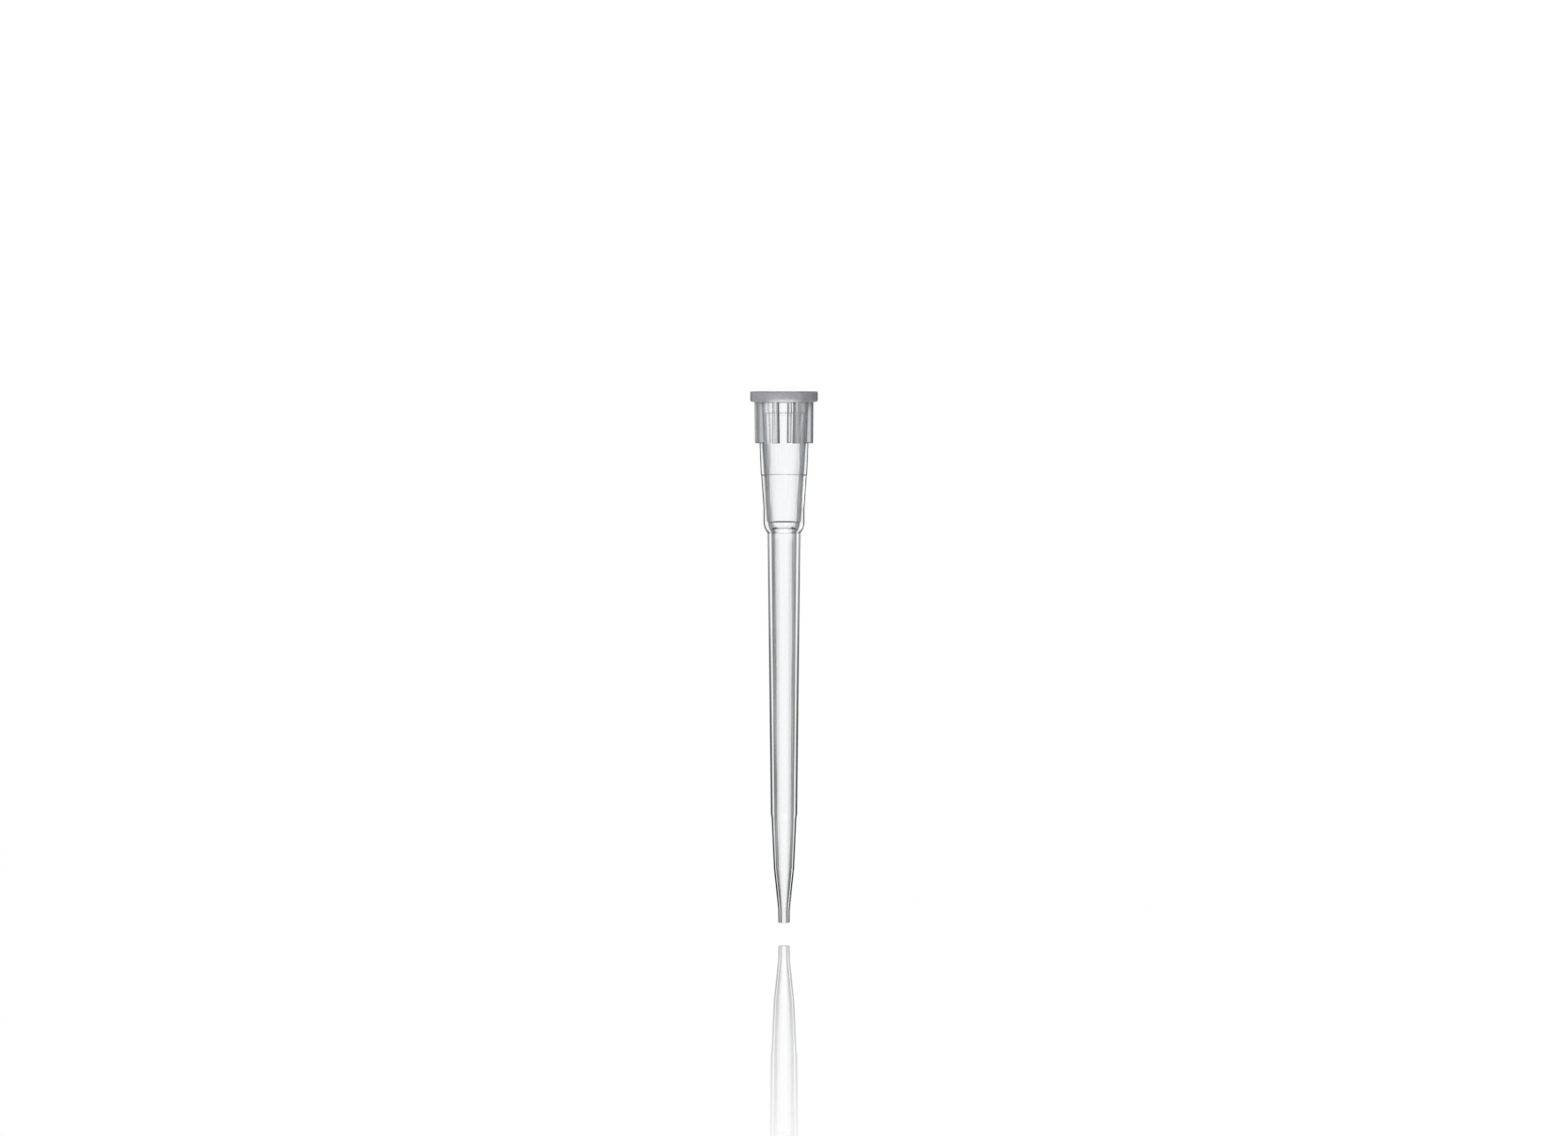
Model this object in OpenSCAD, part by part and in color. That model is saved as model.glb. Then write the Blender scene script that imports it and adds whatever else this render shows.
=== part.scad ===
// Pipette tip, moulded in one piece: a ribbed hub with a socket for the pipette's nozzle,
// a slim thick-walled body and a fine point with a narrow orifice.
// Frame: +Z up, the point hangs down, origin at the centre of the socket's mouth.
// Every depth is measured down from the collar's top face.

/* [Overall] */
// Length from the collar's top face to the end of the point
tip_len = 46; // [36:0.5:60]
// Depth at which the hub ends and the body begins
hub_len = 12.25; // [11:0.05:14.5]
// Length of the point, below the step at the end of the body
point_len = 9.4; // [7:0.1:12]

/* [Collar] */
// Outer diameter of the collar
collar_d = 5.84; // [5.6:0.02:7]
// Height of the collar
collar_h = 0.9; // [0.5:0.05:1.5]
// Radius round the collar's lower edge
collar_round = 0.2; // [0.05:0.01:0.22]
// Chamfer on the collar's upper edge
collar_chamfer = 0.06; // [0.02:0.01:0.2]

/* [Hub] */
// Outer diameter of the hub under the collar
hub_top_d = 4.52; // [4.2:0.02:5]
// Depth of the fine mould line round the hub
hub_line_depth = 7.15; // [5.5:0.05:9]
// Outer diameter of the hub at the mould line
hub_line_d = 4.02; // [3.8:0.02:4.3]
// Step inwards at the mould line
hub_line_step = 0.04; // [0.01:0.01:0.08]
// Outer diameter of the straight foot of the hub
hub_foot_d = 3.54; // [3:0.02:3.8]
// Height of the straight foot, above the shoulder
hub_foot_h = 1.2; // [0.4:0.1:2]
// Radius of the rounded shoulder between the hub and the body
shoulder_round = 1.45; // [0.8:0.05:2.5]

/* [Ribs] */
// Number of ribs round the hub
rib_count = 8; // [4:1:10]
// Diameter across the ribs under the collar
rib_d = 5.24; // [4.8:0.02:5.4]
// Diameter across the ribs at their lower ends
rib_end_d = 5.18; // [4.6:0.02:5.4]
// Thickness of a rib at its outer face
rib_t = 0.5; // [0.3:0.02:0.6]
// Thickness of a rib where it leaves the hub
rib_root_t = 0.56; // [0.4:0.02:0.9]
// Depth of the ribs' lower ends
rib_depth = 4.46; // [2:0.02:6.5]
// Turn of the first rib from the front, towards +X
rib_turn = -17.5; // [-22:0.5:22]

/* [Socket] */
// Diameter of the straight mouth of the socket
mouth_d = 2.9; // [2.78:0.02:3.4]
// Depth of the straight mouth, where the seat begins
mouth_depth = 1.8; // [1:0.05:3]
// Chamfer at the socket's upper edge
mouth_chamfer = 0.16; // [0.04:0.02:0.4]
// Diameter at the top of the tapered seat
seat_top_d = 2.74; // [2.5:0.02:2.76]
// Diameter at the bottom of the tapered seat
seat_end_d = 1.97; // [1.9:0.01:2.2]
// Height of the shelf at the socket's bottom above the hub's lower end
shelf_rise = 1.02; // [0.8:0.01:2]

/* [Bore] */
// Diameter of the throat, just under the socket's shelf
throat_d = 1.84; // [1.5:0.02:1.88]
// Height of the throat, which rounds in to the bore
throat_h = 0.45; // [0.2:0.05:0.6]
// Bore diameter at the top of the body
bore_top_d = 1.46; // [1.2:0.02:1.48]
// Bore diameter at the end of the body
bore_end_d = 1.14; // [1:0.02:1.16]
// Bore diameter where the point steepens
bore_low_d = 0.92; // [0.7:0.02:0.98]
// Diameter of the orifice
orifice_d = 0.44; // [0.3:0.01:0.6]

/* [Body and point] */
// Outer diameter at the top of the body
body_top_d = 2.81; // [2.4:0.01:2.9]
// Outer diameter at the end of the body
body_end_d = 2.27; // [2.2:0.01:2.35]
// Outer diameter at the top of the point, under the step
point_top_d = 2.15; // [2:0.01:2.18]
// Outer diameter where the point steepens
point_low_d = 1.77; // [1.6:0.01:1.9]
// Height of the steep stretch and the nose, from the tip's end
point_low_h = 4.75; // [3:0.05:6]
// Outer diameter of the nose
nose_d = 1.02; // [0.9:0.01:1.2]
// Outer diameter at the very end of the nose
nose_end_d = 0.99; // [0.8:0.01:1.2]
// Height of the nearly straight nose
nose_h = 1.2; // [0.6:0.05:2]
// Radius round the edge of the nose
nose_round = 0.06; // [0.02:0.01:0.1]

/* [Hidden] */
$fn = 128;
arc_steps = 6;

// Height of the small conical faces at the mould line and at the shelf
step_h = 0.06;
// Height over which the end of the body steps in to the point
end_step_h = 0.3;
// Height over which the straight mouth narrows to the seat
mouth_lead_h = 0.2;
// Distance by which each rib runs past its outer face before it is trimmed round
rib_spare = 0.05;

// Outer radii
collar_r = collar_d / 2;
hub_foot_r = hub_foot_d / 2;
body_top_r = body_top_d / 2;
nose_end_r = nose_end_d / 2;

// The shoulder leaves the foot straight down and meets the body where the arc reaches it
shoulder_in = hub_foot_r - body_top_r;
shoulder_angle = acos(1 - shoulder_in / shoulder_round);
shoulder_h = shoulder_round * sin(shoulder_angle);
shoulder_depth = hub_len - shoulder_h;

// Depths down the outside and down the bore
foot_depth = shoulder_depth - hub_foot_h;
body_end_depth = tip_len - point_len;
steep_depth = tip_len - point_low_h;
nose_depth = tip_len - nose_h;
socket_depth = hub_len - shelf_rise;
throat_depth = socket_depth + step_h;

// Hub radius at a depth between the collar and the mould line
function hub_r(depth) =
    lookup(depth, [[collar_h, hub_top_d / 2], [hub_line_depth, hub_line_d / 2]]);

// A rib narrows evenly from the hub to its outer face: its thickness at a distance from the axis
function rib_width(out) =
    rib_root_t + (rib_t - rib_root_t) * (out - hub_r(rib_depth)) / (rib_d / 2 - hub_r(rib_depth));

// Each rib is rooted halfway through the wall at its thinnest place
rib_root_r = (mouth_d / 2 + hub_r(rib_depth)) / 2;
rib_out_r = rib_d / 2 + rib_spare;
rib_top_depth = collar_h / 2;

// Points on an arc round centre c, of radius r, from angle a0 to angle a1
function arc(c, r, a0, a1) = [
    for (i = [0 : arc_steps])
        let (a = a0 + (a1 - a0) * i / arc_steps)
            c + r * [cos(a), sin(a)]
];

function collar_outline() = concat(
    [[collar_r - collar_chamfer, 0], [collar_r, -collar_chamfer]],
    arc([collar_r - collar_round, collar_round - collar_h], collar_round, 0, -90)
);

function hub_outline() = concat(
    [
        [hub_r(collar_h), -collar_h],
        [hub_r(hub_line_depth), -hub_line_depth],
        [hub_r(hub_line_depth) - hub_line_step, -hub_line_depth - step_h],
        [hub_foot_r, -foot_depth]
    ],
    arc([hub_foot_r - shoulder_round, -shoulder_depth], shoulder_round, 0, -shoulder_angle)
);

function body_outline() = concat(
    [
        [body_end_d / 2, -body_end_depth],
        [point_top_d / 2, -body_end_depth - end_step_h],
        [point_low_d / 2, -steep_depth],
        [nose_d / 2, -nose_depth]
    ],
    arc([nose_end_r - nose_round, nose_round - tip_len], nose_round, 0, -90)
);

// The throat leaves the shelf straight down and rounds in to the bore
function throat_outline() = [
    for (i = [arc_steps : -1 : 0])
        let (a = 90 * i / arc_steps)
            [
                bore_top_d / 2 + (throat_d - bore_top_d) / 2 * cos(a),
                -throat_depth - throat_h * sin(a)
            ]
];

function bore_outline() = concat(
    [
        [orifice_d / 2, -tip_len],
        [orifice_d / 2, -nose_depth],
        [bore_low_d / 2, -steep_depth],
        [bore_end_d / 2, -body_end_depth]
    ],
    throat_outline(),
    [
        [seat_end_d / 2, -socket_depth],
        [seat_top_d / 2, -mouth_depth - mouth_lead_h],
        [mouth_d / 2, -mouth_depth],
        [mouth_d / 2, -mouth_chamfer],
        [mouth_d / 2 + mouth_chamfer, 0]
    ]
);

// The turned form of the moulding: half of its lengthwise section, swept round Z
module turned_wall() {
    rotate_extrude()
        polygon(concat(collar_outline(), hub_outline(), body_outline(), bore_outline()));
}

// One drafted rib as a slab that points to the front, from inside the wall outwards
module rib_slab() {
    translate([0, 0, -rib_depth])
        linear_extrude(height = rib_depth - rib_top_depth)
            polygon([
                [-rib_width(rib_root_r) / 2, -rib_root_r],
                [-rib_width(rib_out_r) / 2, -rib_out_r],
                [rib_width(rib_out_r) / 2, -rib_out_r],
                [rib_width(rib_root_r) / 2, -rib_root_r]
            ]);
}

// The ribs under the collar, trimmed round to a slight draft
module ribs() {
    intersection() {
        translate([0, 0, -rib_depth])
            cylinder(h = rib_depth - rib_top_depth, d1 = rib_end_d, d2 = rib_d);
        for (i = [0 : rib_count - 1])
            rotate([0, 0, rib_turn + i * 360 / rib_count])
                rib_slab();
    }
}

module pipette_tip() {
    color([0.9, 0.92, 0.93, 0.45])
        union() {
            turned_wall();
            ribs();
        }
}

pipette_tip();
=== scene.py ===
"""Pipette tip: the finished look of the one-piece polypropylene moulding, and its stage."""

import math

import bmesh
import bpy
from mathutils import Matrix, Vector


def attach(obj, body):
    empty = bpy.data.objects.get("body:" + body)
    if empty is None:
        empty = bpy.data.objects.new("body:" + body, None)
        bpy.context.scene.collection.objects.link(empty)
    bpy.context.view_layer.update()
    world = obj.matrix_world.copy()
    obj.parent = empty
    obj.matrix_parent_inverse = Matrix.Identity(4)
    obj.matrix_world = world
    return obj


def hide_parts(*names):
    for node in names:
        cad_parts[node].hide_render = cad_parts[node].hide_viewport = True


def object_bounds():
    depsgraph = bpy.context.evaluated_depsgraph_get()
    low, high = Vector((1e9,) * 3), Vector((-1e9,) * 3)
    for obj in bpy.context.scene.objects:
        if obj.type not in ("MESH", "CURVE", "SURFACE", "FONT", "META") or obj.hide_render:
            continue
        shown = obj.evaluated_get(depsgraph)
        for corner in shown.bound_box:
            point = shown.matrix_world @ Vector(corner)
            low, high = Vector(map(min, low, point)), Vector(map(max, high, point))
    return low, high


bl_info = {
    "name": "Pipette Tip",
    "version": (1, 0, 0),
    "blender": (4, 5, 0),
    "location": "3D View > Sidebar > Pipette Tip",
    "description": "Builds a clear pipette tip and a white stage for it",
    "category": "Add Mesh",
}

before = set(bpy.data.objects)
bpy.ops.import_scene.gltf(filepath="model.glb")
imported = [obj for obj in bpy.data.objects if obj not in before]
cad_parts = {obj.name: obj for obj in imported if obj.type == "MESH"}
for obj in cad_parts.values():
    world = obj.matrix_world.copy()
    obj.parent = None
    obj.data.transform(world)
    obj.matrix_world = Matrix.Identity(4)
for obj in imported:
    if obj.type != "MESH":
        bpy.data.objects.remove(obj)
CAD_LOW, CAD_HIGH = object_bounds()
NODE = "pipette_tip"
BODY = "root"
MM = 0.001

# How finely a rib, the gap to the next, an arc of the section and a rib's corner are cut up
RIB_CUTS = 6
GAP_CUTS = 12
ARC_CUTS = 6
CORNER_CUTS = 4
# How far from the ends of a long straight stretch its guard points lie
GUARD = 0.12 * MM
# The angle at which an edge between two faces of one finish turns sharp
SHARP_ANGLE = math.radians(28)
PLASTIC_IOR = 1.49


# ---------------------------------------------------------------- sizes and finishes


def length_prop(name, description, default_mm):
    return bpy.props.FloatProperty(
        name=name,
        description=description,
        default=default_mm * MM,
        min=0.0,
        precision=5,
        subtype="DISTANCE",
        unit="LENGTH",
    )


def factor_prop(name, description, default):
    return bpy.props.FloatProperty(
        name=name, description=description, default=default, min=0.0, max=1.0, subtype="FACTOR"
    )


class TipSizes(bpy.types.PropertyGroup):
    """The moulding's sizes. Depths are measured down from the collar's top face."""

    collar_h: length_prop("Collar height", "Height of the collar", 0.9)
    collar_round: length_prop("Collar round", "Radius round the collar's lower edge", 0.2)
    collar_edge: length_prop("Collar edge", "Radius on the collar's upper edge", 0.06)
    hub_top_d: length_prop("Hub top", "Outer diameter of the hub under the collar", 4.52)
    hub_line_depth: length_prop("Mould line depth", "Depth of the line round the hub", 7.15)
    hub_line_d: length_prop("Mould line diameter", "Hub diameter at the mould line", 4.02)
    hub_line_step: length_prop("Mould line step", "Step inwards at the mould line", 0.04)
    hub_foot_d: length_prop("Hub foot", "Outer diameter of the hub's straight foot", 3.54)
    hub_foot_h: length_prop("Foot height", "Height of the foot above the shoulder", 1.2)
    hub_len: length_prop("Hub length", "Depth at which the body begins", 12.25)
    shoulder_round: length_prop("Shoulder round", "Radius of the rounded shoulder", 1.45)
    rib_count: bpy.props.IntProperty(
        name="Ribs", description="Number of ribs round the hub", default=8, min=4, max=12
    )
    rib_turn: bpy.props.FloatProperty(
        name="Rib turn",
        description="Turn of the first rib from the front, towards +X",
        default=math.radians(-17.5),
        subtype="ANGLE",
        unit="ROTATION",
    )
    rib_d: length_prop("Ribs", "Diameter across the ribs under the collar", 5.24)
    rib_end_d: length_prop("Rib ends", "Diameter across the ribs at their lower ends", 5.18)
    rib_t: length_prop("Rib thickness", "Thickness of a rib at its outer face", 0.5)
    rib_root_t: length_prop("Rib root", "Thickness of a rib where it leaves the hub", 0.56)
    rib_depth: length_prop("Rib depth", "Depth of the ribs' lower ends", 4.46)
    rib_corner: length_prop("Rib corner", "Radius along the ribs' outer corners", 0.12)
    mouth_d: length_prop("Mouth", "Diameter of the socket's straight mouth", 2.9)
    mouth_depth: length_prop("Mouth depth", "Depth of the straight mouth", 1.8)
    mouth_edge: length_prop("Mouth edge", "Chamfer at the socket's upper edge", 0.16)
    seat_top_d: length_prop("Seat top", "Diameter at the top of the tapered seat", 2.74)
    seat_end_d: length_prop("Seat end", "Diameter at the bottom of the seat", 1.97)
    shelf_rise: length_prop("Shelf rise", "Height of the shelf above the hub's end", 1.02)
    throat_d: length_prop("Throat", "Diameter of the throat under the shelf", 1.84)
    throat_h: length_prop("Throat height", "Height of the throat", 0.45)
    bore_top_d: length_prop("Bore top", "Bore diameter at the top of the body", 1.46)
    bore_end_d: length_prop("Bore end", "Bore diameter at the end of the body", 1.14)
    bore_low_d: length_prop("Bore low", "Bore diameter where the point steepens", 0.92)
    orifice_d: length_prop("Orifice", "Diameter of the orifice", 0.44)
    body_top_d: length_prop("Body top", "Outer diameter at the top of the body", 2.81)
    body_end_d: length_prop("Body end", "Outer diameter at the end of the body", 2.27)
    point_len: length_prop("Point length", "Length of the point below the step", 9.4)
    point_top_d: length_prop("Point top", "Outer diameter at the top of the point", 2.15)
    point_low_d: length_prop("Point low", "Outer diameter where the point steepens", 1.77)
    point_low_h: length_prop("Steep height", "Height of the steep stretch and the nose", 4.75)
    nose_d: length_prop("Nose", "Outer diameter of the nose", 1.02)
    nose_end_d: length_prop("Nose end", "Outer diameter at the end of the nose", 0.99)
    nose_h: length_prop("Nose height", "Height of the nearly straight nose", 1.2)
    nose_round: length_prop("Nose round", "Radius round the edge of the nose", 0.06)
    step_h: length_prop("Step height", "Height of the mould line's step and of the shelf", 0.06)
    end_step_h: length_prop("End step", "Height over which the body steps in to the point", 0.3)
    mouth_lead: length_prop("Mouth lead", "Height over which the mouth narrows to the seat", 0.2)


class TipFinish(bpy.types.PropertyGroup):
    """The polypropylene's colour and how each zone of the mould was finished."""

    tint: bpy.props.FloatVectorProperty(
        name="Tint",
        description="Colour of the clear plastic",
        default=(0.992, 0.994, 0.996),
        size=3,
        min=0.0,
        max=1.0,
        subtype="COLOR",
    )
    # The width of the painted shade line along the outline
    rim_width: length_prop("Rim width", "Width of the dark line along the outline", 0.1)
    wave_depth: length_prop("Waviness", "Depth of the faint waves on the polished faces", 0.004)
    matt_colour: bpy.props.FloatVectorProperty(
        name="Matt colour",
        description="Colour of the matt texture on the collar",
        default=(0.337, 0.351, 0.366),
        size=3,
        min=0.0,
        max=1.0,
        subtype="COLOR",
    )
    # The grey that the ribs' sides darken to edge on, a painted shade
    rib_colour: bpy.props.FloatVectorProperty(
        name="Rib side colour",
        description="Colour of the half matt sides of the ribs",
        default=(0.25, 0.262, 0.276),
        size=3,
        min=0.0,
        max=1.0,
        subtype="COLOR",
    )
    collar_matt: factor_prop("Collar matt", "Share of the collar's faces that is matt", 0.66)
    rib_matt: factor_prop("Rib matt", "Share of the ribs' sides that is matt, met edge on", 0.9)
    core_roughness: factor_prop("Core roughness", "Roughness left in the bore", 0.16)
    streak: factor_prop("Streaks", "Contrast of the lengthwise streaks in the bore", 0.35)


class StageSettings(bpy.types.PropertyGroup):
    """The camera, the floor and the key lamp."""

    camera_distance: bpy.props.FloatProperty(
        name="Camera distance",
        description="Distance from the camera to the tip's axis",
        default=1.2,
        min=0.2,
        subtype="DISTANCE",
        unit="LENGTH",
    )
    camera_rise: bpy.props.FloatProperty(
        name="Camera rise",
        description="Angle at which the camera looks down",
        default=math.radians(1.2),
        subtype="ANGLE",
        unit="ROTATION",
    )
    view_width: length_prop("View width", "Width of the view at the tip's axis", 135.72)
    aim_depth: length_prop("Aim depth", "Depth on the tip at which the camera aims", 15.274)
    floor_gap: length_prop("Floor gap", "Gap between the end of the point and the floor", 1.0)
    key_watts: bpy.props.FloatProperty(
        name="Key lamp", description="Power of the key lamp", default=2.24, min=0.0, unit="POWER"
    )


# ---------------------------------------------------------------- the turned form


def arc(centre, radius, start, stop):
    """Points on an arc in the section's plane, as (radius from the axis, height)."""
    points = []
    for i in range(ARC_CUTS + 1):
        a = math.radians(start + (stop - start) * i / ARC_CUTS)
        points.append((centre[0] + radius * math.cos(a), centre[1] + radius * math.sin(a)))
    return points


def hub_radius(s, depth):
    """The hub's outer radius at a depth between the collar and the mould line."""
    share = (depth - s.collar_h) / (s.hub_line_depth - s.collar_h)
    return (s.hub_top_d + (s.hub_line_d - s.hub_top_d) * share) / 2


def collar_section(s):
    """From the socket's upper edge across the collar's top and down to its underside."""
    r = CAD_HIGH.x
    top = [(s.mouth_d / 2 + s.mouth_edge, 0.0)]
    upper = arc((r - s.collar_edge, -s.collar_edge), s.collar_edge, 90, 0)
    lower = arc((r - s.collar_round, s.collar_round - s.collar_h), s.collar_round, 0, -90)
    return top + upper + lower


def outer_section(s):
    """From the ribs' lower ends down the outside of the hub, the body and the point."""
    length = CAD_HIGH.z - CAD_LOW.z
    foot_r = s.hub_foot_d / 2
    angle = math.acos(1 - (foot_r - s.body_top_d / 2) / s.shoulder_round)
    shoulder = s.hub_len - s.shoulder_round * math.sin(angle)
    body_end = length - s.point_len
    end_r = s.nose_end_d / 2
    points = [
        (hub_radius(s, s.rib_depth), -s.rib_depth),
        (s.hub_line_d / 2, -s.hub_line_depth),
        (s.hub_line_d / 2 - s.hub_line_step, -s.hub_line_depth - s.step_h),
        (foot_r, -(shoulder - s.hub_foot_h)),
    ]
    points += arc((foot_r - s.shoulder_round, -shoulder), s.shoulder_round, 0, -math.degrees(angle))
    points += [
        (s.body_end_d / 2, -body_end),
        (s.point_top_d / 2, -body_end - s.end_step_h),
        (s.point_low_d / 2, -(length - s.point_low_h)),
        (s.nose_d / 2, -(length - s.nose_h)),
    ]
    points += arc((end_r - s.nose_round, s.nose_round - length), s.nose_round, 0, -90)
    return points


def bore_section(s):
    """From the orifice up the bore and the socket to the edge of its mouth."""
    length = CAD_HIGH.z - CAD_LOW.z
    shelf = s.hub_len - s.shelf_rise
    throat = shelf + s.step_h
    wider = (s.throat_d - s.bore_top_d) / 2
    points = [
        (s.orifice_d / 2, -length),
        (s.orifice_d / 2, -(length - s.nose_h)),
        (s.bore_low_d / 2, -(length - s.point_low_h)),
        (s.bore_end_d / 2, -(length - s.point_len)),
    ]
    for r, z in arc((0.0, 0.0), 1.0, -90, 0):
        points.append((s.bore_top_d / 2 + wider * r, -throat + s.throat_h * z))
    return points + [
        (s.seat_end_d / 2, -shelf),
        (s.seat_top_d / 2, -s.mouth_depth - s.mouth_lead),
        (s.mouth_d / 2, -s.mouth_depth),
        (s.mouth_d / 2, -s.mouth_edge),
        (s.mouth_d / 2 + s.mouth_edge, 0.0),
    ]


def guarded(points):
    """The same line with a point close to each end of its long stretches.

    The added points keep the smooth shading of each stretch its own.
    """
    line = [points[0]]
    for a, b in zip(points, points[1:]):
        run = math.dist(a, b)
        if run > 4 * GUARD:
            for share in (GUARD / run, 1 - GUARD / run):
                line.append((a[0] + (b[0] - a[0]) * share, a[1] + (b[1] - a[1]) * share))
        line.append(b)
    return line


class RingMaker:
    """Places rings of vertices whose columns keep to the ribs' sides."""

    def __init__(self, s, bm):
        self.s = s
        self.bm = bm
        root_r = hub_radius(s, s.rib_depth)
        self.draft = (s.rib_t - s.rib_root_t) / (s.rib_d - 2 * root_r)
        self.half_at_axis = s.rib_root_t / 2 - self.draft * root_r
        self.root_edge = self.rib_edge(root_r)

    def rib_edge(self, radius):
        """The angle from a rib's middle to its drafted side, at a distance from the axis."""
        a, b = self.half_at_axis, self.draft
        under_root = (a * b) ** 2 - (1 + b * b) * (a * a - radius * radius)
        out = (math.sqrt(under_root) - a * b) / (1 + b * b)
        return math.atan2(a + b * out, out)

    def angles(self, radius, follow_ribs):
        """The columns' angles: across each rib, then across the gap to the next."""
        found = []
        pitch = 2 * math.pi / self.s.rib_count
        edge = self.rib_edge(radius) if follow_ribs else self.root_edge
        for i in range(self.s.rib_count):
            middle = self.s.rib_turn - math.pi / 2 + i * pitch
            found += [middle + edge * (2 * k / RIB_CUTS - 1) for k in range(RIB_CUTS)]
            found += [middle + edge + (pitch - 2 * edge) * k / GAP_CUTS for k in range(GAP_CUTS)]
        return found

    def ring(self, radius, height, follow_ribs=False):
        return [
            self.bm.verts.new((radius * math.cos(a), radius * math.sin(a), height))
            for a in self.angles(radius, follow_ribs)
        ]

    def rib_columns(self):
        """For each rib, the columns from one side to the other."""
        per_rib = RIB_CUTS + GAP_CUTS
        return [
            [i * per_rib + k for k in range(RIB_CUTS + 1)] for i in range(self.s.rib_count)
        ]

    def rib_profile(self, radius, height):
        """For each rib, its outer face's vertices, and those round each corner to the side."""
        round_r = self.s.rib_corner
        edge = self.rib_edge(radius)
        half, out = radius * math.sin(edge), radius * math.cos(edge)
        side = (half - self.draft * round_r, out - round_r)
        inner = edge - round_r / radius
        start = (radius * math.sin(inner), radius * math.cos(inner))
        bend = []
        for k in range(1, CORNER_CUTS + 1):
            t = k / CORNER_CUTS
            weights = ((1 - t) ** 2, 2 * t * (1 - t), t * t)
            points = (start, (half, out), side)
            bend.append([sum(w * p[axis] for w, p in zip(weights, points)) for axis in (0, 1)])
        face = []
        for k in range(RIB_CUTS + 1):
            a = inner * (2 * k / RIB_CUTS - 1)
            face.append((radius * math.sin(a), radius * math.cos(a)))
        mirrored = [(-aside, out) for aside, out in bend]
        ribs = []
        for i in range(self.s.rib_count):
            turn = Matrix.Rotation(self.s.rib_turn + i * 2 * math.pi / self.s.rib_count, 3, "Z")
            ribs.append(
                [
                    [self.bm.verts.new(turn @ Vector((aside, -out, height))) for aside, out in line]
                    for line in (face, mirrored, bend)
                ]
            )
        return ribs


def wall(bm, upper, lower, finish):
    """Quads between two rings."""
    n = len(upper)
    for i in range(n):
        j = (i + 1) % n
        face = bm.faces.new((upper[i], lower[i], lower[j], upper[j]))
        face.material_index = finish


# The zones of the mould, in the order of the moulding's materials
POLISHED, MATT, CORED, RIBBED, CROWN, CORNER = range(6)


def build_ribs(maker, under, hub_top, hub_low):
    """The ribs between the collar's underside and their square ends, and the hub between them."""
    s, bm = maker.s, maker.bm

    def add(corners, finish):
        bm.faces.new(corners).material_index = finish

    top = maker.rib_profile(s.rib_d / 2, -s.collar_h)
    low = maker.rib_profile(s.rib_end_d / 2, -s.rib_depth)
    bends = {}
    covered = set()
    for columns, upper, lower in zip(maker.rib_columns(), top, low):
        for k, (a, b) in enumerate(zip(columns, columns[1:])):
            covered.add(a)
            add((under[a], upper[0][k], upper[0][k + 1], under[b]), MATT)
            add((upper[0][k], lower[0][k], lower[0][k + 1], upper[0][k + 1]), CROWN)
            add((lower[0][k], hub_low[a], hub_low[b], lower[0][k + 1]), RIBBED)
        for column, end, side in ((columns[0], 0, 1), (columns[-1], -1, 2)):
            tops = [upper[0][end]] + upper[side]
            lows = [lower[0][end]] + lower[side]
            for k in range(CORNER_CUTS):
                add((tops[k], lows[k], lows[k + 1], tops[k + 1]), CORNER)
            add((tops[-1], lows[-1], hub_low[column], hub_top[column]), RIBBED)
            add(lows + [hub_low[column]], RIBBED)
            bends[column] = tops
    n = len(under)
    for a in range(n):
        if a in covered:
            continue
        b = (a + 1) % n
        ring = [under[a], *bends.get(a, ()), hub_top[a], hub_top[b]]
        ring += [*reversed(bends.get(b, ())), under[b]]
        add(ring, MATT)
        add((hub_top[a], hub_low[a], hub_low[b], hub_top[b]), POLISHED)


def build_moulding(s):
    """The whole tip as one closed mesh."""
    bm = bmesh.new()
    maker = RingMaker(s, bm)
    collar = collar_section(s)
    collar_rings = [maker.ring(r, z, follow_ribs=True) for r, z in collar]
    for upper, lower in zip(collar_rings, collar_rings[1:]):
        wall(bm, upper, lower, MATT)
    hub_top = maker.ring(hub_radius(s, s.collar_h), -s.collar_h, follow_ribs=True)
    outside = [maker.ring(r, z) for r, z in guarded(outer_section(s))]
    build_ribs(maker, collar_rings[-1], hub_top, outside[0])
    for upper, lower in zip(outside, outside[1:]):
        wall(bm, upper, lower, POLISHED)
    inside = [maker.ring(r, z) for r, z in guarded(bore_section(s))[:-1]]
    wall(bm, outside[-1], inside[0], POLISHED)
    for lower, upper in zip(inside, inside[1:]):
        wall(bm, lower, upper, CORED)
    wall(bm, inside[-1], collar_rings[0], CORED)
    unused = [vert for vert in bm.verts if not vert.link_faces]
    bmesh.ops.delete(bm, geom=unused, context="VERTS")
    bmesh.ops.recalc_face_normals(bm, faces=bm.faces)
    for edge in bm.edges:
        one_finish = len({face.material_index for face in edge.link_faces}) == 1
        edge.smooth = one_finish and edge.calc_face_angle(0.0) < SHARP_ANGLE
    for face in bm.faces:
        face.smooth = True
    mesh = bpy.data.meshes.new("tip_moulding")
    bm.to_mesh(mesh)
    bm.free()
    return mesh


# ---------------------------------------------------------------- materials


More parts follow.
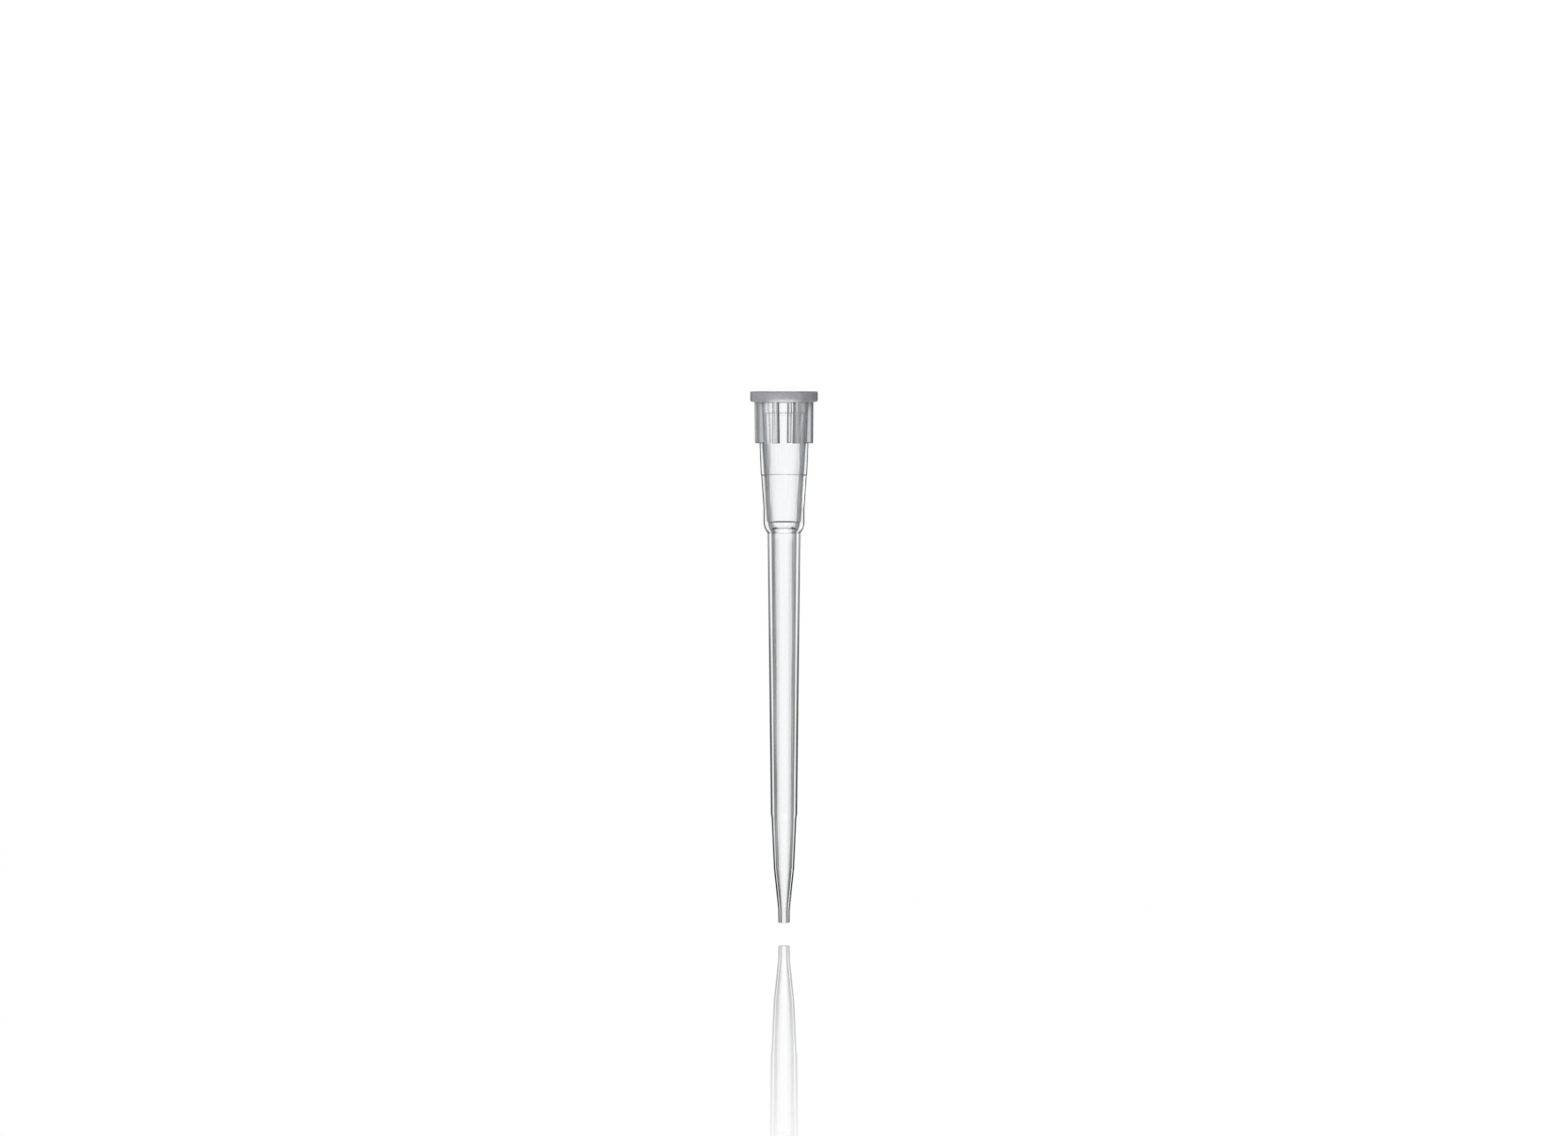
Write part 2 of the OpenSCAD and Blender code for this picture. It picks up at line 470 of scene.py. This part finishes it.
class Finish:
    """The node tree of a material or a world, built a node at a time."""

    def __init__(self, owner):
        owner.use_nodes = True
        self.owner = owner
        self.nodes = owner.node_tree.nodes
        self.links = owner.node_tree.links
        self.nodes.clear()

    def put(self, target, value):
        """Links an output to an input, or sets the input's own value."""
        if isinstance(value, bpy.types.NodeSocket):
            self.links.new(value, target)
        else:
            target.default_value = value

    def node(self, kind, **inputs):
        """A node with its inputs set by name, spaces written as underscores."""
        made = self.nodes.new(kind)
        for name, value in inputs.items():
            self.put(made.inputs[name.replace("_", " ")], value)
        return made

    def math(self, operation, *terms, clamp=False):
        made = self.nodes.new("ShaderNodeMath")
        made.operation = operation
        made.use_clamp = clamp
        for target, term in zip(made.inputs, terms):
            self.put(target, term)
        return made.outputs[0]

    def vector(self, operation, *terms, scale=None):
        made = self.nodes.new("ShaderNodeVectorMath")
        made.operation = operation
        for target, term in zip(made.inputs, terms):
            self.put(target, term)
        if scale is not None:
            self.put(made.inputs["Scale"], scale)
        return made

    def ramp(self, factor, *stops):
        """A colour or grey for each place between 0 and 1."""
        made = self.nodes.new("ShaderNodeValToRGB")
        self.put(made.inputs[0], factor)
        elements = made.color_ramp.elements
        while len(elements) < len(stops):
            elements.new(1.0)
        for element, (place, colour) in zip(elements, stops):
            element.position = place
            element.color = opaque(colour)
        return made.outputs[0]

    def blend(self, factor, low, high):
        """A colour between two others."""
        made = self.nodes.new("ShaderNodeMix")
        made.data_type = "RGBA"
        self.put(made.inputs[0], factor)
        for target, colour in ((made.inputs[6], low), (made.inputs[7], high)):
            self.put(target, colour if isinstance(colour, bpy.types.NodeSocket) else opaque(colour))
        return made.outputs[2]

    def between(self, value, low, high, at_low=0.0, at_high=1.0):
        """A value eased from one level to another between two limits."""
        made = self.nodes.new("ShaderNodeMapRange")
        made.interpolation_type = "SMOOTHSTEP"
        for name, term in (
            ("Value", value),
            ("From Min", low),
            ("From Max", high),
            ("To Min", at_low),
            ("To Max", at_high),
        ):
            self.put(made.inputs[name], term)
        return made.outputs[0]

    def mix(self, factor, first, second):
        made = self.nodes.new("ShaderNodeMixShader")
        for target, value in zip(made.inputs, (factor, first, second)):
            self.put(target, value)
        return made.outputs[0]

    def done(self, surface, output="ShaderNodeOutputMaterial"):
        self.node(output, Surface=surface)
        return self.owner


def opaque(colour):
    if isinstance(colour, (int, float)):
        return (colour, colour, colour, 1.0)
    return (*colour[:3], 1.0)


def cool(level):
    """A grey with the faint blue of clear polypropylene."""
    return (0.97 * level, level, 1.03 * level)


# How wide the outline's painted shade line is along the tip, from the collar to the end of the
# point
RIM_ALONG = (
    (0.0, 0.36),
    (0.1, 0.36),
    (0.19, 0.5),
    (0.36, 0.62),
    (0.5, 0.79),
    (0.65, 0.88),
    (0.79, 0.83),
    (0.815, 0.72),
    (0.94, 0.74),
    (0.965, 0.64),
    (1.0, 0.62),
)
# Where the outline's painted shade line starts to fade and where it ends, as shares of its width
RIM_FADE = (0.75, 1.05)
# The greys of the painted shade lines: along the outline, the fine lines on the collar, the ribs'
# ends and other lines
OUTLINE_GREY = cool(0.018)
COLLAR_LINE_GREY = cool(0.058)
RIB_END_GREY = cool(0.07)
LINE_GREY = cool(0.116)
# The colour of the painted glow along the collar's lower edge
GLOW_COLOUR = (0.98, 0.985, 0.99)
# How much of the light the inside of each kind of face mirrors, from head on to edge on
OUTER_MIRROR = ((0.0, 0.75), (0.24, 0.75), (0.3, 0.45), (1.0, 0.3))
BORE_MIRROR = (
    (0.0, 0.75),
    (0.3, 0.75),
    (0.345, cool(0.37)),
    (0.45, cool(0.33)),
    (0.6, cool(0.26)),
    (1.0, cool(0.16)),
)
# How much of the light passes the bore's wall, from head on to the angle at which it mirrors
BORE_PASSED = (
    (0.0, 0.993),
    (0.05, 0.99),
    (0.1, 0.98),
    (0.15, 0.965),
    (0.2, 0.94),
    (0.25, 0.85),
)
# How much of a rib's face is matt, and its grey there, from head on to edge on; the grey darkens
# edge on as painted shade.
# The sides end in the share and the colour that the finish gives them.
SIDE_MATT = ((0.0, 0.85), (0.2, 0.85))
SIDE_GREY = ((0.0, cool(0.72)), (0.06, cool(0.69)), (0.12, cool(0.54)), (0.3, cool(0.35)))
SIDE_END = 0.5
CROWN_MATT = ((0.0, 0.2), (0.05, 0.25), (0.12, 0.6), (0.3, 0.75), (0.7, 0.95))
CROWN_GREY = (
    (0.0, cool(0.78)),
    (0.05, cool(0.74)),
    (0.12, cool(0.34)),
    (0.5, cool(0.3)),
    (0.7, cool(0.1)),
)
CORNER_MATT = ((0.0, 0.8), (0.3, 0.85), (1.0, 0.92))
CORNER_GREY = ((0.0, cool(0.4)), (0.1, cool(0.3)), (0.3, cool(0.14)), (1.0, cool(0.06)))


def facing(finish):
    """How far a wall turns aside, at any height of view: 0 head on, 1 where it is met edge on."""
    axis = finish.node("ShaderNodeCombineXYZ", Z=1.0).outputs[0]
    met = finish.node("ShaderNodeLayerWeight", Blend=0.5).outputs["Facing"]
    along = finish.node("ShaderNodeLayerWeight", Blend=0.5, Normal=axis).outputs["Facing"]
    along = finish.math("POWER", finish.math("SUBTRACT", 1.0, along), 2.0)
    across = finish.math("MAXIMUM", finish.math("SUBTRACT", 1.0, along), 0.01)
    head_on = finish.math("SUBTRACT", 1.0, met)
    head_on = finish.math("DIVIDE", head_on, finish.math("SQRT", across), clamp=True)
    return finish.math("SUBTRACT", 1.0, head_on)


def place_on_part(finish):
    return finish.node("ShaderNodeTexCoord").outputs["Object"]


def height_on_part(finish):
    return finish.node("ShaderNodeSeparateXYZ", Vector=place_on_part(finish)).outputs["Z"]


def radius_on_part(finish):
    flat = finish.vector("MULTIPLY", place_on_part(finish), (1.0, 1.0, 0.0)).outputs["Vector"]
    return finish.vector("LENGTH", flat).outputs["Value"]


def depth_share(finish):
    """0 at the collar's top, 1 at the end of the point."""
    return finish.math("DIVIDE", height_on_part(finish), CAD_LOW.z - CAD_HIGH.z)


def grain(finish, across, along, detail=2.0):
    """Noise between 0 and 1 whose grains have one size round the tip and one along it."""
    scaled = finish.vector("MULTIPLY", place_on_part(finish), (1 / across, 1 / across, 1 / along))
    return finish.node(
        "ShaderNodeTexNoise", Vector=scaled.outputs["Vector"], Scale=1.0, Detail=detail
    ).outputs[0]


def relief(finish, texture, depth):
    """A bumped normal from a texture, as deep as the mould's own marks."""
    return finish.node("ShaderNodeBump", Strength=1.0, Distance=depth, Height=texture).outputs[0]


def rim(finish, angle, width, stops=((0.0, 1.0), (1.0, 1.0))):
    """1 in the fine painted shade line along the moulding's outline, whatever its radius there."""
    head_on = finish.math("SUBTRACT", 1.0, angle)
    aside = finish.math("SQRT", finish.math("SUBTRACT", 1.0, finish.math("POWER", head_on, 2.0)))
    gap = finish.math("MULTIPLY", radius_on_part(finish), finish.math("SUBTRACT", 1.0, aside))
    wide = finish.math("MULTIPLY", finish.ramp(depth_share(finish), *stops), 2.0 * width)
    gap = finish.math("DIVIDE", gap, wide)
    return finish.between(gap, *RIM_FADE, at_low=1.0, at_high=0.0)


def ring_line(finish, depth, width):
    """1 on a fine line round the tip at one depth."""
    off = finish.math("ABSOLUTE", finish.math("ADD", height_on_part(finish), depth))
    return finish.between(off, 0.3 * width, 0.6 * width, at_low=1.0, at_high=0.0)


def strongest(finish, *marks):
    """Several painted shade lines in one: each is 0 to 1 and has a strength of its own."""
    total = 0.0
    for mark, strength in marks:
        total = finish.math("MAXIMUM", total, finish.math("MULTIPLY", mark, strength))
    return total


def skin(
    finish,
    tint,
    polish,
    mirror,
    mirror_polish,
    edge=None,
    width=0.0,
    streak=None,
    bump=None,
    early=None,
    passed=None,
):
    """Clear polypropylene: bent light, and greyer light where the inside of the wall mirrors.

    mirror gives the mirrored light from head on to edge on, streak scales it, and early starts
    its ramp sooner. passed gives the light that goes through, and edge the grey of the
    painted shade line along the outline.
    """
    angle = facing(finish)
    tone = finish.ramp(angle if early is None else finish.math("ADD", angle, early), *mirror)
    if streak is not None:
        tone = finish.vector("SCALE", tone, scale=streak).outputs["Vector"]
    if passed is None:
        tint = opaque(tint)
    else:
        tint = finish.vector("MULTIPLY", passed(angle), tint[:]).outputs["Vector"]
    if edge is not None:
        # Painted shade: a dark line along the outline, set by the angle of view
        line = rim(finish, angle, width, RIM_ALONG)
        tone = finish.blend(line, tone, edge)
        tint = finish.blend(line, tint, edge)
    through = finish.node("ShaderNodeBsdfRefraction", Color=tint, Roughness=polish, IOR=PLASTIC_IOR)
    glint = finish.node("ShaderNodeBsdfGlossy", Color=tone, Roughness=mirror_polish)
    if bump is not None:
        finish.put(through.inputs["Normal"], bump)
        finish.put(glint.inputs["Normal"], bump)
    share = finish.node("ShaderNodeFresnel", IOR=PLASTIC_IOR).outputs[0]
    return finish.mix(share, through.outputs[0], glint.outputs[0])


def frost(finish, tone, bump=None):
    """A matt face, bumped with a texture where one is given."""
    tone = tone if isinstance(tone, bpy.types.NodeSocket) else opaque(tone)
    matt = finish.node("ShaderNodeBsdfDiffuse", Color=tone)
    if bump is not None:
        finish.put(matt.inputs["Normal"], bump)
    return matt.outputs[0]


def polished_plastic(name, look, sizes):
    """The outer faces: polished steel in the mould, with a faint waviness from the cooling."""
    finish = Finish(bpy.data.materials.new(name))
    wave = relief(finish, grain(finish, across=0.7 * MM, along=2.2 * MM), look.wave_depth)
    clear = skin(
        finish,
        look.tint,
        polish=0.0,
        mirror=OUTER_MIRROR,
        mirror_polish=0.05,
        # the outline is painted dark, as painted shade
        edge=OUTLINE_GREY,
        width=look.rim_width,
        bump=wave,
    )
    # Greyer between the ribs, where the hub is seen aslant
    rib_end = -sizes.rib_depth
    among_ribs = finish.between(height_on_part(finish), rib_end - 0.05 * MM, rib_end + 0.05 * MM)
    aslant = finish.between(facing(finish), 0.06, 0.2, at_high=0.25)
    aslant_grey = finish.math("MULTIPLY", among_ribs, aslant)
    clear = finish.mix(aslant_grey, clear, frost(finish, cool(0.8)))
    # Painted shade lines along the mould line's real step and where the hub meets the body
    line = ring_line(finish, sizes.hub_line_depth + sizes.step_h / 2, sizes.step_h)
    foot = ring_line(finish, sizes.hub_len, sizes.step_h)
    marks = strongest(finish, (line, 0.4), (foot, 0.3))
    return finish.done(finish.mix(marks, clear, frost(finish, LINE_GREY)))


def cored_plastic(name, look, sizes):
    """The bore and the socket: drawn lengthwise streaks from the core pin."""
    finish = Finish(bpy.data.materials.new(name))
    height = height_on_part(finish)
    rib_end = (-sizes.rib_depth - 0.1 * MM, -sizes.rib_depth + 0.1 * MM)
    hub_end = (-sizes.hub_len - 1.0 * MM, -sizes.hub_len)
    streaks = grain(finish, across=0.11 * MM, along=9.0 * MM, detail=1.0)
    level = finish.between(streaks, 0.3, 0.7, 1.0 - look.streak, 1.0 + look.streak)
    fade = finish.between(depth_share(finish), 0.82, 1.0, at_low=1.0, at_high=0.15)
    level = finish.math("MULTIPLY", level, fade)
    among_ribs = finish.between(height, *rib_end, at_low=1.0, at_high=1.15)
    level = finish.math("MULTIPLY", level, among_ribs)
    in_body = finish.between(height, *hub_end, at_low=0.05, at_high=0.0)
    in_hub = finish.between(height, *hub_end, at_high=0.75)

    def passed(angle):
        return finish.blend(in_hub, finish.ramp(angle, *BORE_PASSED), BORE_PASSED[0][1])

    clear = skin(
        finish,
        look.tint,
        polish=0.0,
        mirror=BORE_MIRROR,
        mirror_polish=look.core_roughness,
        streak=level,
        early=in_body,
        passed=passed,
    )
    # Painted shade lines at the shelf and at the two ends of the lead from the mouth to the seat
    shelf = sizes.hub_len - sizes.shelf_rise + 0.8 * sizes.step_h
    lead_top = sizes.mouth_depth + 0.5 * sizes.step_h
    lead_end = sizes.mouth_depth + sizes.mouth_lead
    marks = strongest(
        finish,
        (ring_line(finish, shelf, 1.1 * sizes.step_h), 0.8),
        (ring_line(finish, lead_top, sizes.step_h), 0.6),
        (ring_line(finish, lead_end, sizes.step_h), 0.15),
    )
    return finish.done(finish.mix(marks, clear, frost(finish, LINE_GREY)))


def slope_of(finish):
    """The upward part of a face's direction: 1 on top, 0 upright, -1 underneath."""
    normal = finish.node("ShaderNodeTexCoord").outputs["Normal"]
    return finish.node("ShaderNodeSeparateXYZ", Vector=normal).outputs["Z"]


def sideways(finish, angle, slope):
    """How far a turned face looks aside, whatever its slope: 0 head on, 1 at the outline."""
    upright = finish.math("SUBTRACT", 1.0, finish.math("MULTIPLY", slope, slope))
    upright = finish.math("SQRT", finish.math("MAXIMUM", upright, 0.001))
    head_on = finish.math("DIVIDE", finish.math("SUBTRACT", 1.0, angle), upright, clamp=True)
    return finish.math("SUBTRACT", 1.0, head_on)


def matt_plastic(name, look):
    """The collar's fine matt texture, with a painted glow along the rounded lower edge and painted
    shade towards the outline.
    """
    finish = Finish(bpy.data.materials.new(name))
    etching = grain(finish, across=0.09 * MM, along=0.09 * MM, detail=3.0)
    texture = relief(finish, etching, 0.004 * MM)
    clear = skin(finish, look.tint, polish=0.0, mirror=OUTER_MIRROR, mirror_polish=0.05)
    slope = slope_of(finish)
    side = sideways(finish, facing(finish), slope)
    share = finish.ramp(side, (0.0, look.collar_matt), (0.3, 0.85), (0.6, 0.92))
    # Painted glow: the lower edge is painted pale, less so towards the outline, and faces turned
    # underneath get a weaker painted glow
    level = finish.math("ADD", height_on_part(finish), finish.math("MULTIPLY", side, 1.2 * MM))
    glow = finish.between(level, -1.0 * MM, -0.48 * MM, at_low=1.0, at_high=0.0)
    under = finish.between(slope, -0.9, -0.1, at_low=0.35, at_high=0.0)
    glow = finish.math("MAXIMUM", glow, under)
    share = finish.math("MAXIMUM", share, glow)
    # Painted shade: a dark line along the outline and a fainter one under the top edge
    line = rim(finish, side, 0.4 * look.rim_width)
    line = strongest(finish, (line, 1.0), (ring_line(finish, 0.035 * MM, 0.05 * MM), 0.5))
    share = finish.math("MAXIMUM", share, line)
    clouds = grain(finish, across=0.3 * MM, along=0.3 * MM)
    cloud_and_shade = finish.between(clouds, 0.3, 0.7, at_low=0.92, at_high=1.08)
    # Painted shade: the matt grey darkens as the collar turns aside towards the outline
    shade = finish.ramp(side, (0.0, 1.0), (0.1, 0.95), (0.4, 0.84))
    cloud_and_shade = finish.math("MULTIPLY", cloud_and_shade, shade)
    tone = finish.vector("SCALE", look.matt_colour[:], scale=cloud_and_shade).outputs["Vector"]
    tone = finish.blend(glow, tone, GLOW_COLOUR)
    tone = finish.blend(line, tone, COLLAR_LINE_GREY)
    return finish.done(finish.mix(share, clear, frost(finish, tone, texture)))


def above_hub(finish, sizes):
    """Height above the hub's own surface, at the foot of the ribs."""
    run = sizes.hub_line_depth - sizes.collar_h
    slope = (sizes.hub_top_d - sizes.hub_line_d) / 2 / run
    foot = sizes.hub_top_d / 2 + slope * sizes.collar_h
    grown = finish.math("MULTIPLY", height_on_part(finish), slope)
    return finish.math("SUBTRACT", finish.math("SUBTRACT", radius_on_part(finish), foot), grown)


def rib_face(finish, sizes, clear, share, tone, texture):
    """A rib's part matt face, with a painted shade line along its square lower end."""
    rib_end = -sizes.rib_depth
    low, high = rib_end + 0.04 * MM, rib_end + 0.12 * MM
    # Painted shade line along the rib's square lower end
    edge = finish.between(height_on_part(finish), low, high, at_low=0.75, at_high=0.0)
    share = finish.math("MAXIMUM", share, edge)
    tone = finish.blend(edge, tone, RIB_END_GREY)
    return finish.done(finish.mix(share, clear, frost(finish, tone, texture)))


def ribbed_plastic(name, look, sizes):
    """The ribs' sides and ends, half matt from the mould, clearer where they are met head on, with
    painted shade edge on and along their roots.
    """
    finish = Finish(bpy.data.materials.new(name))
    clear = skin(finish, look.tint, polish=0.1, mirror=OUTER_MIRROR, mirror_polish=0.2)
    angle = facing(finish)
    share = finish.ramp(angle, *SIDE_MATT, (SIDE_END, look.rib_matt))
    # Painted shade: the sides' grey darkens as they turn edge on
    tone = finish.ramp(angle, *SIDE_GREY, (SIDE_END, look.rib_colour))
    # Painted shade along the ribs' roots, where they leave the hub
    root = finish.between(above_hub(finish, sizes), 0.0, 0.1 * MM, at_low=0.8, at_high=0.0)
    share = finish.math("MAXIMUM", share, root)
    tone = finish.blend(root, tone, LINE_GREY)
    texture = relief(finish, grain(finish, across=0.08 * MM, along=0.8 * MM), 0.003 * MM)
    return rib_face(finish, sizes, clear, share, tone, texture)


def rounded_plastic(name, look, sizes, matt, grey):
    """The ribs' outer faces or their rounded corners, painted greyer as they turn away, as painted
    shade.
    """
    finish = Finish(bpy.data.materials.new(name))
    clear = skin(finish, look.tint, polish=0.05, mirror=OUTER_MIRROR, mirror_polish=0.1)
    angle = facing(finish)
    share = finish.ramp(angle, *matt)
    # Painted shade: the grey darkens as the face turns away
    tone = finish.ramp(angle, *grey)
    texture = relief(finish, grain(finish, across=0.1 * MM, along=1.2 * MM), 0.003 * MM)
    return rib_face(finish, sizes, clear, share, tone, texture)


# ---------------------------------------------------------------- the stage

# The camera's sensor, in millimetres, and where its view starts, in metres
SENSOR_WIDTH = 36
CLIP_START = 0.01
# The key lamp, high on the left in front
KEY_PLACE = (-0.22, -0.51, 0.25)
KEY_TARGET = (0.0, 0.0, -0.02)
KEY_SIZE = 0.3
# The surround dims between these heights of its dome, to this level
DOME_FADE = (0.35, 0.6)
DOME_DIM = 0.3
# The share of the surround's light that matt faces take
MATT_LIGHT = 0.86
# The floor's radius, its colour, and its look near the tip: a shaded part and a plain part
FLOOR_REACH = 0.8
FLOOR_COLOUR = 0.85
FLOOR_SHADED = 0.55
FLOOR_PLAIN = 0.67
# Where the floor's look near the tip eases to plain white, and where its polish fades
FLOOR_FADE = (0.03, 0.15)
POLISH_FADE = (0.06, 0.4)
FLOOR_POLISH = 0.75
FLOOR_IOR = 1.45


def studio_world(name):
    """A white surround, even round the horizon and dimmer overhead and below."""
    finish = Finish(bpy.data.worlds.new(name))
    where = finish.node("ShaderNodeTexCoord").outputs["Generated"]
    height = finish.node("ShaderNodeSeparateXYZ", Vector=where).outputs["Z"]
    away = finish.math("ABSOLUTE", height)
    level = finish.between(away, *DOME_FADE, at_low=1.0, at_high=DOME_DIM)
    path = finish.node("ShaderNodeLightPath")
    matt = finish.math("MULTIPLY", path.outputs["Is Diffuse Ray"], 1.0 - MATT_LIGHT)
    level = finish.math("MULTIPLY", level, finish.math("SUBTRACT", 1.0, matt))
    strength = finish.math("MAXIMUM", level, path.outputs["Is Camera Ray"])
    white = finish.node("ShaderNodeBackground", Color=opaque(1.0), Strength=strength).outputs[0]
    return finish.done(white, "ShaderNodeOutputWorld")


def plain_light(finish, strength):
    """White that no shadow reaches."""
    return finish.node("ShaderNodeEmission", Color=opaque(1.0), Strength=strength).outputs[0]


def floor_finish(name):
    """Plain white, slightly polished round the middle."""
    finish = Finish(bpy.data.materials.new(name))
    path = finish.node("ShaderNodeLightPath")
    place = finish.node("ShaderNodeTexCoord").outputs["Object"]
    away = finish.vector("LENGTH", place).outputs["Value"]
    matt = frost(finish, FLOOR_COLOUR)
    near = finish.node("ShaderNodeAddShader")
    finish.put(near.inputs[0], frost(finish, FLOOR_SHADED))
    finish.put(near.inputs[1], plain_light(finish, FLOOR_PLAIN))
    far = plain_light(finish, 1.0)
    lit = finish.mix(finish.between(away, *FLOOR_FADE), near.outputs[0], far)
    shine = finish.node("ShaderNodeBsdfGlossy", Color=opaque(1.0), Roughness=0.0).outputs[0]
    fresnel = finish.node("ShaderNodeFresnel", IOR=FLOOR_IOR).outputs[0]
    reach = finish.between(away, *POLISH_FADE, at_low=FLOOR_POLISH, at_high=0.0)
    polish = finish.math("MULTIPLY", fresnel, reach)
    seen = path.outputs["Is Camera Ray"]
    for ray in ("Is Glossy Ray", "Is Transmission Ray"):
        seen = finish.math("MAXIMUM", seen, path.outputs[ray])
    surface = finish.mix(seen, matt, lit)
    return finish.done(finish.mix(polish, surface, shine))


def white_floor(name, height, reach):
    bm = bmesh.new()
    bmesh.ops.create_circle(bm, cap_ends=True, segments=96, radius=reach)
    mesh = bpy.data.meshes.new(name)
    bm.to_mesh(mesh)
    bm.free()
    floor = bpy.data.objects.new(name, mesh)
    floor.location.z = height
    bpy.context.scene.collection.objects.link(floor)
    mesh.materials.append(floor_finish("white_floor"))


def area_lamp(name, place, target, size, watts):
    data = bpy.data.lights.new(name, "AREA")
    data.shape = "SQUARE"
    data.size = size
    data.energy = watts
    lamp = bpy.data.objects.new(name, data)
    lamp.location = place
    lamp.rotation_euler = (Vector(target) - Vector(place)).to_track_quat("-Z", "Y").to_euler()
    bpy.context.scene.collection.objects.link(lamp)


# ---------------------------------------------------------------- operators


class PIPETTE_OT_moulding(bpy.types.Operator):
    """Build the tip's moulding with the finish of each zone of the mould"""

    bl_idname = "pipette_tip.moulding"
    bl_label = "Moulding"
    bl_options = {"REGISTER", "UNDO"}

    def execute(self, context):
        sizes = context.scene.pipette_sizes
        look = context.scene.pipette_finish
        mesh = build_moulding(sizes)
        rounded = (
            ("crowned_polypropylene", CROWN_MATT, CROWN_GREY),
            ("cornered_polypropylene", CORNER_MATT, CORNER_GREY),
        )
        mesh.materials.append(polished_plastic("polished_polypropylene", look, sizes))
        mesh.materials.append(matt_plastic("matt_polypropylene", look))
        mesh.materials.append(cored_plastic("cored_polypropylene", look, sizes))
        mesh.materials.append(ribbed_plastic("ribbed_polypropylene", look, sizes))
        for name, matt, grey in rounded:
            mesh.materials.append(rounded_plastic(name, look, sizes, matt, grey))
        tip = bpy.data.objects.new("tip_moulding", mesh)
        context.scene.collection.objects.link(tip)
        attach(tip, BODY)
        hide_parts(NODE)
        return {"FINISHED"}


class PIPETTE_OT_stage(bpy.types.Operator):
    """Set the floor, the light and the camera round the tip"""

    bl_idname = "pipette_tip.stage"
    bl_label = "Stage"
    bl_options = {"REGISTER", "UNDO"}

    def execute(self, context):
        settings = context.scene.pipette_stage
        scene = context.scene
        scene.view_settings.view_transform = "Standard"
        scene.world = studio_world("studio")
        white_floor("floor", CAD_LOW.z - settings.floor_gap, FLOOR_REACH)
        area_lamp("key", KEY_PLACE, KEY_TARGET, KEY_SIZE, settings.key_watts)
        camera = bpy.data.objects.new("camera", bpy.data.cameras.new("camera"))
        scene.collection.objects.link(camera)
        camera.data.clip_start = CLIP_START
        camera.data.sensor_width = SENSOR_WIDTH
        camera.data.lens = SENSOR_WIDTH * settings.camera_distance / settings.view_width
        aim = Vector((0, 0, CAD_HIGH.z - settings.aim_depth))
        rise = settings.camera_rise
        back = Vector((0, -math.cos(rise), math.sin(rise)))
        camera.location = aim + back * settings.camera_distance
        camera.rotation_euler = (-back).to_track_quat("-Z", "Y").to_euler()
        scene.camera = camera
        return {"FINISHED"}


class PIPETTE_PT_panel(bpy.types.Panel):
    """The tip's pieces and sizes in the 3D view's sidebar"""

    bl_label = "Pipette Tip"
    bl_idname = "PIPETTE_PT_panel"
    bl_space_type = "VIEW_3D"
    bl_region_type = "UI"
    bl_category = "Pipette Tip"

    def draw(self, context):
        layout = self.layout
        layout.operator(PIPETTE_OT_moulding.bl_idname)
        layout.operator(PIPETTE_OT_stage.bl_idname)
        for group in (
            context.scene.pipette_sizes,
            context.scene.pipette_finish,
            context.scene.pipette_stage,
        ):
            box = layout.box()
            for name in group.__annotations__:
                box.prop(group, name)


CLASSES = (
    TipSizes,
    TipFinish,
    StageSettings,
    PIPETTE_OT_moulding,
    PIPETTE_OT_stage,
    PIPETTE_PT_panel,
)


def register():
    for cls in CLASSES:
        bpy.utils.register_class(cls)
    bpy.types.Scene.pipette_sizes = bpy.props.PointerProperty(type=TipSizes)
    bpy.types.Scene.pipette_finish = bpy.props.PointerProperty(type=TipFinish)
    bpy.types.Scene.pipette_stage = bpy.props.PointerProperty(type=StageSettings)


def unregister():
    del bpy.types.Scene.pipette_stage
    del bpy.types.Scene.pipette_finish
    del bpy.types.Scene.pipette_sizes
    for cls in reversed(CLASSES):
        bpy.utils.unregister_class(cls)


def main():
    register()
    bpy.ops.pipette_tip.moulding()
    bpy.ops.pipette_tip.stage()


if __name__ == "__main__":
    main()
